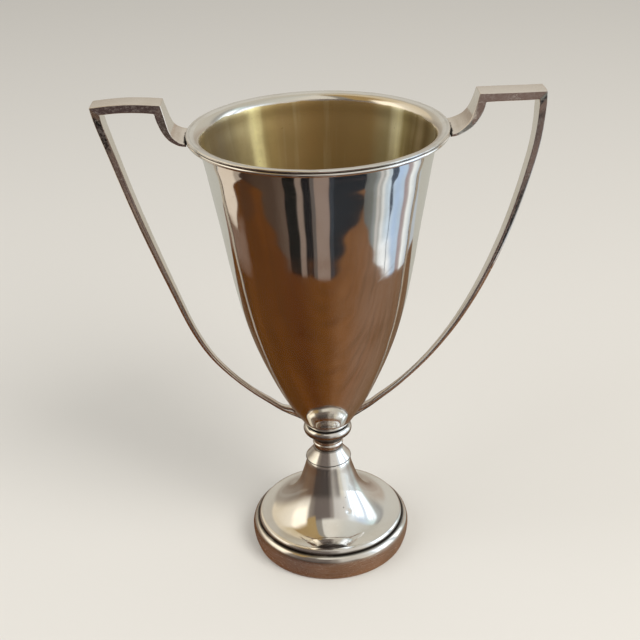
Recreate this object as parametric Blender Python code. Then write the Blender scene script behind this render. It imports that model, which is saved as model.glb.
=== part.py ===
"""Two-handled trophy cup: a spun bowl on a turned stem and a hollow trumpet foot.

Metres, +Z up. The origin is on the cup's axis, on the plane the foot stands on.
The two handles lie in the XZ plane. Turned pieces are outlines of (radius, height)
points spun about Z, and they share one segment count, so nested walls never cross.
"""

import math

import bmesh
import bpy
import numpy as np

# Overall sizes
RIM_HEIGHT = 0.2000
RIM_RADIUS = 0.0523
BAR_HEIGHT = 0.2124
HANDLE_REACH = 0.0890
SEGMENTS = 36

# Clearances between pieces that are soldered, stacked or screwed together
SEAM = 0.0001
THREAD_CLEARANCE = 0.0002

# Bowl
BOWL_WALL = 0.0009
BOWL_SEAT_HEIGHT = 0.0620
BOWL_SEAT_RADIUS = 0.0094
BOWL_WALL_POINTS = (
    (BOWL_SEAT_RADIUS, BOWL_SEAT_HEIGHT),
    (0.0146, 0.0700),
    (0.0200, 0.0800),
    (0.0283, 0.1000),
    (0.0343, 0.1200),
    (0.0382, 0.1400),
    (0.0413, 0.1600),
    (0.0446, 0.1800),
    (0.0467, 0.1922),
)
LIP_FILLET = 0.0042
LIP_CENTRE = (0.0511, RIM_HEIGHT - BOWL_WALL - LIP_FILLET)

# Rim wire, soldered under the flange's edge
WIRE_HALF_WIDTH = 0.00125
WIRE_HALF_HEIGHT = 0.0009
WIRE_CENTRE = (RIM_RADIUS - WIRE_HALF_WIDTH, RIM_HEIGHT - BOWL_WALL - SEAM - WIRE_HALF_HEIGHT)

# Knop ring
KNOP_CENTRE = (0.0085, 0.0594)
KNOP_BEAD = 0.0024
KNOP_BOTTOM = 0.0567
KNOP_BOTTOM_RADIUS = 0.0088
KNOP_BORE = 0.0058

# Neck, with its small bead
NECK_BOTTOM = 0.0496
NECK_WAIST = 0.0062
NECK_BEAD_CENTRE = (0.0061, 0.0519)
NECK_BEAD = 0.0008

# Collar
COLLAR_BOTTOM = 0.0439
COLLAR_RADIUS = 0.01045
COLLAR_WALL = 0.0008
COLLAR_CEILING = 0.0463

# Foot shell
FOOT_WALL = 0.0009
FOOT_CROWN_HEIGHT = 0.0456
FOOT_CROWN_THICKNESS = 0.0012
FOOT_CROWN_RADIUS = 0.0066
FOOT_WALL_POINTS = (
    (0.0080, 0.0446),
    (0.0098, 0.0425),
    (0.0108, 0.0391),
    (0.0120, 0.0352),
    (0.0140, 0.0296),
    (0.0172, 0.0243),
    (0.0216, 0.0196),
    (0.0268, 0.0160),
    (0.0318, 0.0147),
)
FOOT_EDGE_RADIUS = 0.0336
FOOT_EDGE_POINTS = ((0.0327, 0.0144), (0.0332, 0.0137), (FOOT_EDGE_RADIUS, 0.0126))
FOOT_RIM_WIDTH = 0.0014

# Foot border
BORDER_RADIUS = 0.0365
BORDER_BASE_RADIUS = 0.0350
BORDER_WALL_POINTS = (
    (FOOT_EDGE_RADIUS + 0.0002, 0.0124),
    (0.0348, 0.0118),
    (0.0357, 0.0108),
    (0.0362, 0.0096),
    (BORDER_RADIUS, 0.0078),
    (0.0361, 0.0040),
    (BORDER_BASE_RADIUS, 0.0004),
)
LEDGE_HEIGHT = 0.0112
LEDGE_INNER_RADIUS = 0.0308
LEDGE_THICKNESS = 0.0012
REST_INNER_RADIUS = 0.0318
BORDER_INSIDE_POINTS = ((REST_INNER_RADIUS, 0.0012), (0.0338, 0.0030), (0.0342, 0.0090))

# Stud, boss, washer and nut
STUD_RADIUS = 0.0024
STUD_BOTTOM = 0.0370
STUD_TOP = 0.0608
BOSS_RADIUS = 0.0054
BOSS_BOTTOM = 0.0572
WASHER_RADIUS = 0.0060
WASHER_THICKNESS = 0.0010
NUT_ACROSS_FLATS = 0.0080
NUT_THICKNESS = 0.0040
NUT_SEGMENTS = 24

# Handles: (distance from the axis, height, thickness, width, sway) along the outer line,
# from the rim up the ramp, out along the bar and down the arm to the bowl. The handles
# were bent by hand: by its sway, the right one stands out further and the left one less.
HANDLE_COLUMNS = 7
BAR_STEPS = 6
RAMP_STATIONS = (
    (0.0529, 0.1982, 0.0014, 0.0210, 0.0000),
    (0.0566, 0.2002, 0.0022, 0.0172, 0.0003),
    (0.0588, 0.2028, 0.0030, 0.0143, 0.0008),
    (0.0604, 0.2070, 0.0037, 0.0118, 0.0012),
    (0.0619, BAR_HEIGHT, 0.0037, 0.0106, 0.0013),
)
ARM_STATIONS = (
    (HANDLE_REACH, BAR_HEIGHT, 0.0034, 0.0106, 0.0007),
    (0.0884, 0.2050, 0.0031, 0.0092, 0.0014),
    (0.0857, 0.1900, 0.0031, 0.0074, 0.0027),
    (0.0805, 0.1700, 0.0030, 0.0067, 0.0031),
    (0.0741, 0.1500, 0.0028, 0.0062, 0.0031),
    (0.0665, 0.1300, 0.0026, 0.0054, 0.0023),
    (0.0589, 0.1130, 0.0024, 0.0047, 0.0008),
    (0.0512, 0.1000, 0.0022, 0.0041, -0.0004),
    (0.0433, 0.0900, 0.0021, 0.0036, -0.0008),
    (0.0333, 0.0800, 0.0021, 0.0032, -0.0009),
    (0.0206, 0.0700, 0.0021, 0.0030, -0.0008),
)
ARM_FOOT_LOW = 0.0644
ARM_FOOT_HIGH = 0.0704
LEFT_BAR_ARCH = 0.0009


def arc(centre, radius, start, end, steps):
    """Round stretch of an outline; 0 degrees points outwards and 90 points up."""
    angles = np.radians(np.linspace(start, end, steps + 1))
    return [(centre[0] + radius * math.cos(a), centre[1] + radius * math.sin(a)) for a in angles]


def smooth(points, steps):
    """Catmull-Rom curve through points of any dimension, with the ends repeated."""
    rows = np.array([points[0], *points, points[-1]], dtype=float)
    curve = []
    for before, start, end, after in zip(rows, rows[1:], rows[2:], rows[3:]):
        for step in range(steps):
            t = step / steps
            curve.append(0.5 * (2 * start + (end - before) * t
                                + (2 * before - 5 * start + 4 * end - after) * t ** 2
                                + (3 * start - before - 3 * end + after) * t ** 3))
    curve.append(rows[-1])
    return [tuple(float(value) for value in row) for row in curve]


def directions(points):
    """Unit direction of each stretch of an open polyline in the plane."""
    line = np.array(points, dtype=float)
    steps = np.diff(line, axis=0)
    return steps / np.linalg.norm(steps, axis=1)[:, None]


def offset(points, distances):
    """Polyline moved to the right of its own direction, with mitred corners."""
    along = directions(points)
    moved = []
    for index, point in enumerate(points):
        before = along[max(index - 1, 0)]
        after = along[min(index, len(along) - 1)]
        right_before = np.array((before[1], -before[0]))
        right_after = np.array((after[1], -after[0]))
        mitre = (right_before + right_after) / (1.0 + right_before @ right_after)
        moved.append(tuple(np.array(point) + mitre * distances[index]))
    return moved


def material(name, colour, roughness, metallic):
    made = bpy.data.materials.new(name)
    made.use_nodes = True
    shader = made.node_tree.nodes["Principled BSDF"]
    shader.inputs["Base Color"].default_value = (*colour, 1.0)
    shader.inputs["Roughness"].default_value = roughness
    shader.inputs["Metallic"].default_value = metallic
    return made


def add_object(name, shape, finish):
    """Turn a bmesh into a named object with one material, smooth where it's round."""
    bmesh.ops.recalc_face_normals(shape, faces=shape.faces)
    mesh = bpy.data.meshes.new(name)
    shape.to_mesh(mesh)
    shape.free()
    mesh.shade_smooth()
    mesh.set_sharp_from_angle(angle=math.radians(35))
    mesh.materials.append(finish)
    made = bpy.data.objects.new(name, mesh)
    bpy.context.scene.collection.objects.link(made)
    return made


def bridge(shape, ring, following):
    """Band of faces between two closed rings with as many corners."""
    for index in range(len(ring)):
        after = (index + 1) % len(ring)
        shape.faces.new((ring[index], ring[after], following[after], following[index]))


def turned(name, outline, finish):
    """Solid of revolution; an outline that starts and ends on the axis stays open there."""
    shape = bmesh.new()
    corners = [shape.verts.new((radius, 0.0, height)) for radius, height in outline]
    on_axis = outline[0][0] == 0.0 and outline[-1][0] == 0.0
    ends = corners[1:] if on_axis else corners[1:] + corners[:1]
    edges = [shape.edges.new(pair) for pair in zip(corners, ends)]
    bmesh.ops.spin(shape, geom=corners + edges, axis=(0, 0, 1), cent=(0, 0, 0),
                   angle=math.tau, steps=SEGMENTS, use_merge=True)
    bmesh.ops.remove_doubles(shape, verts=shape.verts, dist=1e-6)
    return add_object(name, shape, finish)


def bowl_wall():
    """Outside of the bowl's wall, from its seat up to where the lip turns out."""
    return smooth(BOWL_WALL_POINTS, 2)


def bowl_radius(height):
    wall = bowl_wall()
    return float(np.interp(height, [point[1] for point in wall], [point[0] for point in wall]))


def add_bowl(finish):
    outside = bowl_wall() + arc(LIP_CENTRE, LIP_FILLET, 180, 90, 4)
    inside = offset(outside, [-BOWL_WALL] * len(outside))
    edge_centre = (RIM_RADIUS - BOWL_WALL / 2, RIM_HEIGHT - BOWL_WALL / 2)
    edge = arc(edge_centre, BOWL_WALL / 2, -90, 90, 3)
    floor = BOWL_SEAT_HEIGHT + 1.3 * BOWL_WALL
    inside = [point for point in inside if point[1] > floor + BOWL_WALL]
    outline = [(0.0, BOWL_SEAT_HEIGHT), *outside, *edge, *reversed(inside)]
    outline += [(0.5 * BOWL_SEAT_RADIUS, floor), (0.0, floor)]
    return turned("bowl", outline, finish)


def add_rim_wire(finish):
    angles = np.radians(np.arange(0, 360, 45))
    outline = [(WIRE_CENTRE[0] + WIRE_HALF_WIDTH * math.cos(a),
                WIRE_CENTRE[1] + WIRE_HALF_HEIGHT * math.sin(a)) for a in angles]
    return turned("rim_wire", outline, finish)


def add_knop_ring(finish):
    top = BOWL_SEAT_HEIGHT - SEAM
    bead = arc(KNOP_CENTRE, KNOP_BEAD, 85, -70, 6)
    outline = [(KNOP_BORE, KNOP_BOTTOM), (KNOP_BORE, top), (KNOP_CENTRE[0], top)]
    outline += [*bead, (KNOP_BOTTOM_RADIUS, KNOP_BOTTOM)]
    return turned("knop_ring", outline, finish)


def add_neck(finish):
    bore = STUD_RADIUS + THREAD_CLEARANCE
    top = KNOP_BOTTOM - SEAM
    taper = smooth(((KNOP_BOTTOM_RADIUS, top), (0.0073, 0.0552), (0.0064, 0.0535)), 2)
    bead = arc(NECK_BEAD_CENTRE, NECK_BEAD, 60, -70, 3)
    outline = [(bore, NECK_BOTTOM), (bore, top), *taper, *bead]
    outline += [(NECK_WAIST, 0.0508), (NECK_WAIST + SEAM, NECK_BOTTOM)]
    return turned("neck", outline, finish)


def add_collar(finish):
    """Domed skirt, hollow underneath so that it laps over the foot's crown."""
    bore = STUD_RADIUS + THREAD_CLEARANCE
    top = NECK_BOTTOM - SEAM
    skirt = smooth(((NECK_WAIST + 2 * SEAM, top), (0.0070, 0.0484), (0.0086, 0.0462),
                    (COLLAR_RADIUS, COLLAR_BOTTOM)), 2)
    lining = offset(skirt, [COLLAR_WALL] * len(skirt))
    lining = [point for point in lining if point[1] < COLLAR_CEILING]
    lining[-1] = (COLLAR_RADIUS - COLLAR_WALL, COLLAR_BOTTOM)
    outline = [(bore, COLLAR_CEILING), (bore, top), *skirt, *reversed(lining)]
    return turned("collar", outline, finish)


def add_foot(finish):
    bore = STUD_RADIUS + THREAD_CLEARANCE
    ceiling = FOOT_CROWN_HEIGHT - FOOT_CROWN_THICKNESS
    trumpet = smooth(FOOT_WALL_POINTS, 2)
    lining = offset(trumpet, [FOOT_WALL] * len(trumpet))
    lining[0] = (lining[0][0], ceiling)
    rest = LEDGE_HEIGHT + SEAM
    outline = [(bore, ceiling), (bore, FOOT_CROWN_HEIGHT)]
    outline += [(FOOT_CROWN_RADIUS, FOOT_CROWN_HEIGHT), *trumpet, *FOOT_EDGE_POINTS]
    outline += [(FOOT_EDGE_RADIUS, rest), (FOOT_EDGE_RADIUS - FOOT_RIM_WIDTH, rest)]
    outline += [*reversed(lining)]
    return turned("foot", outline, finish)


def add_foot_border(finish):
    """Ring that the foot shell drops into: a ledge, a round shoulder and an upright wall."""
    wall = smooth(BORDER_WALL_POINTS, 2)
    outline = [(LEDGE_INNER_RADIUS, LEDGE_HEIGHT), (wall[0][0], LEDGE_HEIGHT)]
    outline += [*wall, (BORDER_BASE_RADIUS - 0.0004, 0.0), (REST_INNER_RADIUS, 0.0)]
    outline += [*BORDER_INSIDE_POINTS, (LEDGE_INNER_RADIUS, LEDGE_HEIGHT - LEDGE_THICKNESS)]
    return turned("foot_border", outline, finish)


def add_boss(finish):
    """Boss soldered under the bowl, with the blind hole that the stud screws into."""
    bore = STUD_RADIUS + THREAD_CLEARANCE
    top = BOWL_SEAT_HEIGHT - SEAM
    hole_top = STUD_TOP + THREAD_CLEARANCE
    outline = [(0.0, hole_top), (bore, hole_top), (bore, BOSS_BOTTOM), (BOSS_RADIUS, BOSS_BOTTOM),
               (BOSS_RADIUS, top), (0.0, top)]
    return turned("bowl_boss", outline, finish)


def add_stud(finish):
    chamfer = 0.0005
    outline = [(0.0, STUD_BOTTOM), (STUD_RADIUS - chamfer, STUD_BOTTOM),
               (STUD_RADIUS, STUD_BOTTOM + chamfer), (STUD_RADIUS, STUD_TOP), (0.0, STUD_TOP)]
    return turned("stem_stud", outline, finish)


def washer_bottom():
    return FOOT_CROWN_HEIGHT - FOOT_CROWN_THICKNESS - SEAM - WASHER_THICKNESS


def add_washer(finish):
    bore = STUD_RADIUS + THREAD_CLEARANCE
    low = washer_bottom()
    high = low + WASHER_THICKNESS
    outline = [(bore, low), (bore, high), (WASHER_RADIUS, high), (WASHER_RADIUS, low)]
    return turned("stud_washer", outline, finish)


def nut_ring(shape, height, hexagonal):
    """Ring of the nut's corners, on its hexagon or on its threaded hole."""
    ring = []
    for index in range(NUT_SEGMENTS):
        angle = math.tau * index / NUT_SEGMENTS
        from_flat = (angle + math.pi / 6) % (math.pi / 3) - math.pi / 6
        radius = STUD_RADIUS + THREAD_CLEARANCE
        if hexagonal:
            radius = 0.5 * NUT_ACROSS_FLATS / math.cos(from_flat)
        ring.append(shape.verts.new((radius * math.cos(angle), radius * math.sin(angle), height)))
    return ring


def add_nut(finish):
    high = washer_bottom() - SEAM
    low = high - NUT_THICKNESS
    shape = bmesh.new()
    corners = ((high, False), (high, True), (low, True), (low, False))
    rings = [nut_ring(shape, height, hexagonal) for height, hexagonal in corners]
    for ring, following in zip(rings, rings[1:] + rings[:1]):
        bridge(shape, ring, following)
    return add_object("stud_nut", shape, finish)


def bar_stations(start, end, arch):
    """The bar's top line between its two sharp corners, arched by the given height."""
    stations = []
    for share in np.linspace(0, 1, BAR_STEPS + 1)[1:-1]:
        station = np.array(start) + (np.array(end) - np.array(start)) * share
        station[1] += arch * math.sin(math.pi * share)
        stations.append(tuple(station))
    return stations


def clear_of(corner, stations):
    """Stations far enough from a sharp corner for the inner line not to fold back there."""
    return [station for station in stations if math.dist(station[:2], corner[:2]) > station[2]]


def handle_stations(side):
    """(reach, height, thickness, width) along one handle; the side is -1 for the left one."""
    ramp, arm = (smooth([(reach + side * sway, *rest) for reach, *rest, sway in stations], 3)
                 for stations in (RAMP_STATIONS, ARM_STATIONS))
    first, second = ramp[-1], arm[0]
    arch = LEFT_BAR_ARCH if side < 0 else 0.0
    return [*clear_of(first, ramp), first, *bar_stations(first, second, arch), second,
            *clear_of(second, arm)]


def add_handle(name, side, finish):
    """Bent strip with flat faces, wide at the rim, narrowing down the arm to the bowl.

    Each station is a ring of corners: along the outer line and back along the inner line.
    The two ends are hollowed to the rim's curve and to the bowl's curve.
    """
    stations = handle_stations(side)
    outer = [station[:2] for station in stations]
    inner = offset(outer, [station[2] for station in stations])
    widths = [station[3] for station in stations]
    outer.append((bowl_radius(ARM_FOOT_LOW) + 2 * SEAM, ARM_FOOT_LOW))
    inner.append((bowl_radius(ARM_FOOT_HIGH) + 2 * SEAM, ARM_FOOT_HIGH))
    widths.append(widths[-1])
    last = len(outer) - 1
    shape = bmesh.new()
    rings = []
    for index in range(last + 1):
        columns = np.linspace(-0.5, 0.5, HANDLE_COLUMNS) * widths[index]
        ring = []
        for line, order in ((outer, columns), (inner, columns[::-1])):
            reach, height = line[index]
            for across in order:
                here = reach
                if index == 0:
                    here = math.sqrt((RIM_RADIUS + 2 * SEAM) ** 2 - across ** 2)
                if index == last:
                    here = math.sqrt(reach ** 2 - across ** 2)
                ring.append(shape.verts.new((side * here, across, height)))
        rings.append(ring)
    for ring, following in zip(rings, rings[1:]):
        bridge(shape, ring, following)
    for ring in (rings[0], rings[-1]):
        for index in range(HANDLE_COLUMNS - 1):
            back = len(ring) - 1 - index
            shape.faces.new((ring[index], ring[index + 1], ring[back - 1], ring[back]))
    return add_object(name, shape, finish)


def build():
    for item in list(bpy.data.objects):
        bpy.data.objects.remove(item)
    silver = material("silver_plate", (0.86, 0.84, 0.80), 0.12, 1.0)
    gilt_lined = material("silver_plate_gilt_lined", (0.86, 0.84, 0.78), 0.12, 1.0)
    brass = material("brass", (0.72, 0.55, 0.27), 0.35, 1.0)
    steel = material("steel", (0.55, 0.55, 0.56), 0.4, 1.0)
    add_bowl(gilt_lined)
    add_rim_wire(silver)
    add_handle("handle_left", -1, silver)
    add_handle("handle_right", 1, silver)
    add_knop_ring(silver)
    add_neck(silver)
    add_collar(silver)
    add_foot(silver)
    add_foot_border(silver)
    add_boss(brass)
    add_stud(steel)
    add_washer(brass)
    add_nut(brass)


build()
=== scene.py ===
"""Looks of a two-handled silver-plated trophy cup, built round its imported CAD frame.

Metres, +Z up, the cup's axis on Z, the handles along X, the viewer on the -Y side.
Every visible piece is rebuilt finely from its own CAD node: turned pieces by reading the
node's outline and spinning it, the handles by reading their outer and inner lines.
"""

import math

import bmesh
import bpy
import numpy as np
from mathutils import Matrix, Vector


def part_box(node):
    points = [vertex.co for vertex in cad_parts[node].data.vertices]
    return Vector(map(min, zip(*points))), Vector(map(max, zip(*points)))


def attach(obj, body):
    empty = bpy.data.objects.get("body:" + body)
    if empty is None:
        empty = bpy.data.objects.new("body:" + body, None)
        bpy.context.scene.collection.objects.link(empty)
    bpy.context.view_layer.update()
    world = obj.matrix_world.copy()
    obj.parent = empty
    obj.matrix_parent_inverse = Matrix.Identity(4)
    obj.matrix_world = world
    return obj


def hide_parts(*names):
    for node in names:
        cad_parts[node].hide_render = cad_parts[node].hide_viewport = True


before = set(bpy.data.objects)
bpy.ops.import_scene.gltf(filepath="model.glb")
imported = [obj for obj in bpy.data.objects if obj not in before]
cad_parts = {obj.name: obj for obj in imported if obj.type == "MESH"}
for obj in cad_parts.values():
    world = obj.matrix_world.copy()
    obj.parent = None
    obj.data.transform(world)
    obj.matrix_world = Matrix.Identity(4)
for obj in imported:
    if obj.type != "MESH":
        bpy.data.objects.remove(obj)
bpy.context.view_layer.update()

BODY = "root"
RIM_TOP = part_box("bowl")[1].z

# Turned pieces: where an outline turns by more than this many degrees it has a real corner,
# which wear cuts back by a length, or by a share of a short stretch
CORNER_ANGLES = {"bowl": 50, "rim_wire": 60, "knop_ring": 40, "neck": 48, "collar": 30,
                 "foot": 36, "foot_border": 36}
SPIN_SEGMENTS = 240
SPLINE_STEPS = 6
CORNER_STEPS = 4
WORN_CORNER = 0.00022
WEAR_SHARE = 0.35
MUCH_LONGER = 3
LOOP_OVERLAP = 4
CLOSE = 1e-6

# Handles: how their rails are found and sampled, and how a strip's section is rounded
HANDLE_SHARP = math.radians(40)
SAME_STATION = 0.00065
RIM_END = 0.0522
HANDLE_EDGE = 0.00035
HANDLE_CROWN = 0.00008
HANDLE_MITRE = 0.00030
FACED_EDGE_SHARE = 0.45
ROUND_EDGE_SHARE = 0.85
SECTION_CORNERS = ((1, 1), (-1, 1), (-1, -1), (1, -1))
RAIL_SAMPLES = (40, 24, 90)
EDGE_STEPS = 6
FACE_STEPS = 6
ARM_ROUNDS_FROM = 0.45
ARM_ROUNDING_LENGTH = 0.25
RIM_HOLLOW_STATIONS = 10

# Where the gilding starts, below the rim, and the bowl's edge and floor
GILT_EDGE = 0.0034
BOWL_EDGE = 0.0004
BOWL_FLOOR = 0.0645

# The gilding's tones by degrees round, painted lighter and darker by how the room's light falls, with
# painted highlight streaks at 41 and 126, and the middle of the streak at 126, where the gilding is
# also made less metallic
GILT_HIGHLIGHT_STREAK = 125.5
GILT_TONES_AND_HIGHLIGHTS = ((-180, "a8966a"), (-90, "b5a274"), (0, "b3a888"), (14, "857756"), (21, "b8ac88"),
              (27, "978860"), (36, "a89c74"), (41, "f2eecb"), (47, "ada07a"), (60, "a2865a"),
              (90, "a98a58"), (108, "b09566"), (118, "c4ab74"), (126, "fff4b4"), (133, "d4c290"),
              (145, "b2a47e"), (154, "a69b80"), (167, "958a74"), (180, "a8966a"))

# Unevenness and small damage: a ripple in the bowl's wall, knocks along the lip, a dent on
# the foot's trumpet and pits (x, y, z, radius)
RIPPLE = 0.000011
KNOCK_DEPTH = 0.00009
DENT_CENTRE = np.array((0.0080, -0.0161, 0.0232))
DENT_SIZE = np.array((0.0019, 0.0014, 0.0014))
DENT_DEPTH = 0.00022
PITS = ((0.0058, -0.0156, 0.0251, 0.00045), (0.0069, -0.0127, 0.0286, 0.00035),
        (0.0042, -0.0191, 0.0212, 0.00030), (-0.0006, -0.0094, 0.0452, 0.00035),
        (0.0022, -0.0086, 0.0460, 0.00025))

# Wiping marks in the silver: direction as angles, length, thickness, rarity
WIPING_MARKS = (((0.2, 0.3, 0.7), 0.012, 0.00016, 0.68),
                ((0.1, -0.2, -0.5), 0.016, 0.00014, 0.69),
                ((0.0, 0.0, 1.45), 0.02, 0.00018, 0.69))

# Single scratches on the bowl: (degrees from the front, height), tilt, length, thickness
BOWL_SCRATCHES = (((39.0, 0.1498), 42, 0.0095, 0.00016), ((-21.0, 0.1630), 70, 0.0060, 0.00010),
                  ((8.0, 0.1340), 15, 0.0080, 0.00009))

# Silver: how much of it is a dull veil, the radius that its marks are laid out on, its dirt
HAZE = 0.012
WRAP_RADIUS = 0.03
ARM_JOINT_DIRT = 0.0032
RIM_JOINT_HALF = 0.0110
DULL_EDGE = 0.002

# The room that the silver mirrors, painted as a reflection that the floor shows to mirror rays: a
# wooden table, a wall behind, a rug in front, a window.
# Each edge of the table lies at a place, with bends as (where it starts, slope).
TABLE_FRONT = -0.208
TABLE_FRONT_LEFT_BEND = (-0.05, 0.40)
TABLE_FRONT_RIGHT_BEND = (0.12, 0.25)
TABLE_RIGHT = 0.238
TABLE_RIGHT_BEND = (0.02, -0.27)
TABLE_LEFT = -0.285
TABLE_LEFT_SLOPE = (0.07, -0.07)
TABLE_LEFT_CUT = (0.440, -1.31)
TABLE_CORNER = -0.262
EDGE_WAVE = 0.006
WALL_BEHIND = 0.190
RUG_FROM = 0.42
WINDOW_FROM = 44
WINDOW_SILL = 0.262
WINDOW_MARK = 76.5

# The table's sheen, for rays from between two heights: full below one steepness, none above
SHEEN = 0.85
SHEEN_STEEPNESS = (0.10, 0.52)
SHEEN_TOP = 0.062
SHEEN_FOOT = 0.0085

# The room's colours by compass degrees: 0 towards the viewer, positive to the right
WOOD_TONES = ((-160, "7d6a58"), (-120, "5c3610"), (-60, "5c3208"), (-35, "5a2e06"),
              (0, "6a3f14"), (25, "815836"), (60, "86664f"), (95, "856750"),
              (125, "7a5d44"), (160, "7d6a58"))
FRONT_TONES = ((-75, "38261a"), (-62, "483628"), (-50, "47362a"), (-38, "5a493d"),
               (-25, "85756a"), (-20, "857468"), (0, "8c7a6f"), (7, "8c7a70"),
               (44, "5e5a56"), (60, "86898a"))
FRONT_BARS = ((-36.5, -24.0, "100e0b"), (-18.0, -9.5, "161416"), (8.0, 44.0, "23262b"),
              (-9.5, -6.0, "5b5450"), (8.5, 12.5, "353a41"))
WINDOW_TONES = ((40, "5c5e5e"), (52, "70726f"), (57, "8f9494"), (60, "c9c6c3"), (63, "a9aaa8"),
                (66, "dfe2e2"), (70, "c3d0da"), (74, "cfe0f0"), (84, "b4cbe9"), (92, "bcd0e6"),
                (95, "a4979a"), (99, "b0a5a5"), (103, "f6fafa"), (107, "e4eaec"),
                (112, "c6ced6"), (120, "b9c0c6"), (135, "c0c2c4"), (160, "c2c2bc"))
LOW_TONES = ((-180, "a9a094"), (-150, "9c9285"), (-125, "8f8478"), (-98, "7d6a58"),
             (-70, "6d5746"), (-55, "453b35"), (-8, "443d39"), (0, "5f5852"), (14, "a8a39c"),
             (30, "8d8882"), (44, "e0dccf"), (58, "f2f5f4"), (80, "e9f1f4"), (98, "c9d0d2"),
             (112, "dceef0"), (126, "c2bdb5"), (150, "b5a99c"), (180, "a9a094"))
MIDDLE_TONES = ((-180, "c9c5bb"), (-153, "bcb5a8"), (-147, "ddd0b8"), (-90, "fbf2e0"),
                (-73, "f3eada"), (-62, "8a8075"), (-45, "6a605a"), (-8, "6c625c"), (4, "8f8780"),
                (16, "cac6c0"), (44, "d6d3ce"), (62, "e6eef3"), (84, "cfdded"), (112, "def4f8"),
                (120, "b4b8b8"), (128, "a3a3a1"), (138, "c7c5bd"), (180, "c9c5bb"))
HIGH_TONES = ((-180, "cdc9be"), (-153, "b5ac9a"), (-147, "d8cab0"), (-112, "d2c2a2"),
              (-100, "a68c60"), (-50, "a48a5c"), (-43, "8f8a80"), (-30, "908b82"),
              (-24, "dedacf"), (0, "e2ded4"), (60, "cfd0ca"), (120, "c4c3bb"), (180, "cdc9be"))

# Stage
FLOOR_REACH = 6.0
FLOOR_DROP = 0.0001
LAMP_AIM = (0, 0, 0.08)

# Camera
CAMERA_PLACE = (-0.00666, -0.42255, 0.33223)
CAMERA_TURN = (62.649, 1.777, -1.584)
CAMERA_LENS = 61.96
SENSOR_WIDTH = 36
NEAR_LIMIT = 0.01


# ---------------------------------------------------------------- reading the CAD nodes

def cad_chain(node, inside, sharp=0.0):
    """Corners of a CAD node for which inside() holds, in order along the edges that join them.

    Only edges at least as sharp as the given angle count. Gives the points and whether they
    close into a loop.
    """
    shape = bmesh.new()
    shape.from_mesh(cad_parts[node].data)
    bmesh.ops.remove_doubles(shape, verts=shape.verts, dist=CLOSE)
    chosen = {vert for vert in shape.verts if inside(vert.co)}
    joined = {vert: [edge.other_vert(vert) for edge in vert.link_edges
                     if edge.other_vert(vert) in chosen and edge.calc_face_angle() >= sharp]
              for vert in chosen}
    ends = sorted((vert for vert in chosen if len(joined[vert]) == 1), key=lambda vert: vert.co.z)
    first = ends[0] if ends else min(chosen, key=lambda vert: (vert.co.z, vert.co.x))
    order = [first]
    while True:
        onward = [vert for vert in joined[order[-1]] if vert not in order]
        if not onward:
            break
        order.append(onward[0])
    points = np.array([vert.co[:] for vert in order], dtype=float)
    shape.free()
    return points, not ends


def unit(rows):
    """Rows scaled to length 1."""
    return rows / np.linalg.norm(rows, axis=-1, keepdims=True)


def turns(points, closed):
    """Angle in degrees by which a line turns at each of its points; 0 at open ends."""
    before = points - np.roll(points, 1, axis=0)
    after = np.roll(points, -1, axis=0) - points
    cosine = np.clip(np.sum(unit(before) * unit(after), axis=1), -1, 1)
    angles = np.degrees(np.arccos(cosine))
    if not closed:
        angles[0] = angles[-1] = 0
    return angles


def natural_spline(points, steps):
    """Smooth curve through points, with an even second derivative; steps per stretch."""
    count = len(points)
    if count == 2:
        share = np.linspace(0, 1, steps + 1)[:, None]
        return points[0] + (points[1] - points[0]) * share
    spans = np.linalg.norm(np.diff(points, axis=0), axis=1)
    system = np.eye(count)
    sides = np.zeros_like(points)
    for index in range(1, count - 1):
        left, right = spans[index - 1], spans[index]
        system[index, index - 1:index + 2] = left, 2 * (left + right), right
        sides[index] = 6 * ((points[index + 1] - points[index]) / right
                            - (points[index] - points[index - 1]) / left)
    bends = np.linalg.solve(system, sides)
    curve = []
    for index, span in enumerate(spans):
        for share in np.linspace(0, 1, steps, endpoint=False):
            rest = 1 - share
            curve.append(rest * points[index] + share * points[index + 1] + span ** 2 / 6 * (
                (rest ** 3 - rest) * bends[index] + (share ** 3 - share) * bends[index + 1]))
    curve.append(points[-1])
    return np.array(curve)


def pinned(points):
    """Adds a point on a long straight stretch, close to a much shorter neighbour."""
    spans = np.linalg.norm(np.diff(points, axis=0), axis=1)
    rows = [points[0]]
    for index, span in enumerate(spans):
        start, end = points[index], points[index + 1]
        if index > 0 and span > MUCH_LONGER * spans[index - 1]:
            rows.append(start + (end - start) * spans[index - 1] / span)
        if index + 1 < len(spans) and span > MUCH_LONGER * spans[index + 1]:
            rows.append(end + (start - end) * spans[index + 1] / span)
        rows.append(end)
    return np.array(rows)


def corner_arc(before, corner, after):
    """Points of a small curve round a corner, without its two ends."""
    arc = []
    for share in np.linspace(0, 1, CORNER_STEPS + 1)[1:-1]:
        rest = 1 - share
        arc.append(rest ** 2 * before + 2 * rest * share * corner + share ** 2 * after)
    return arc


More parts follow.
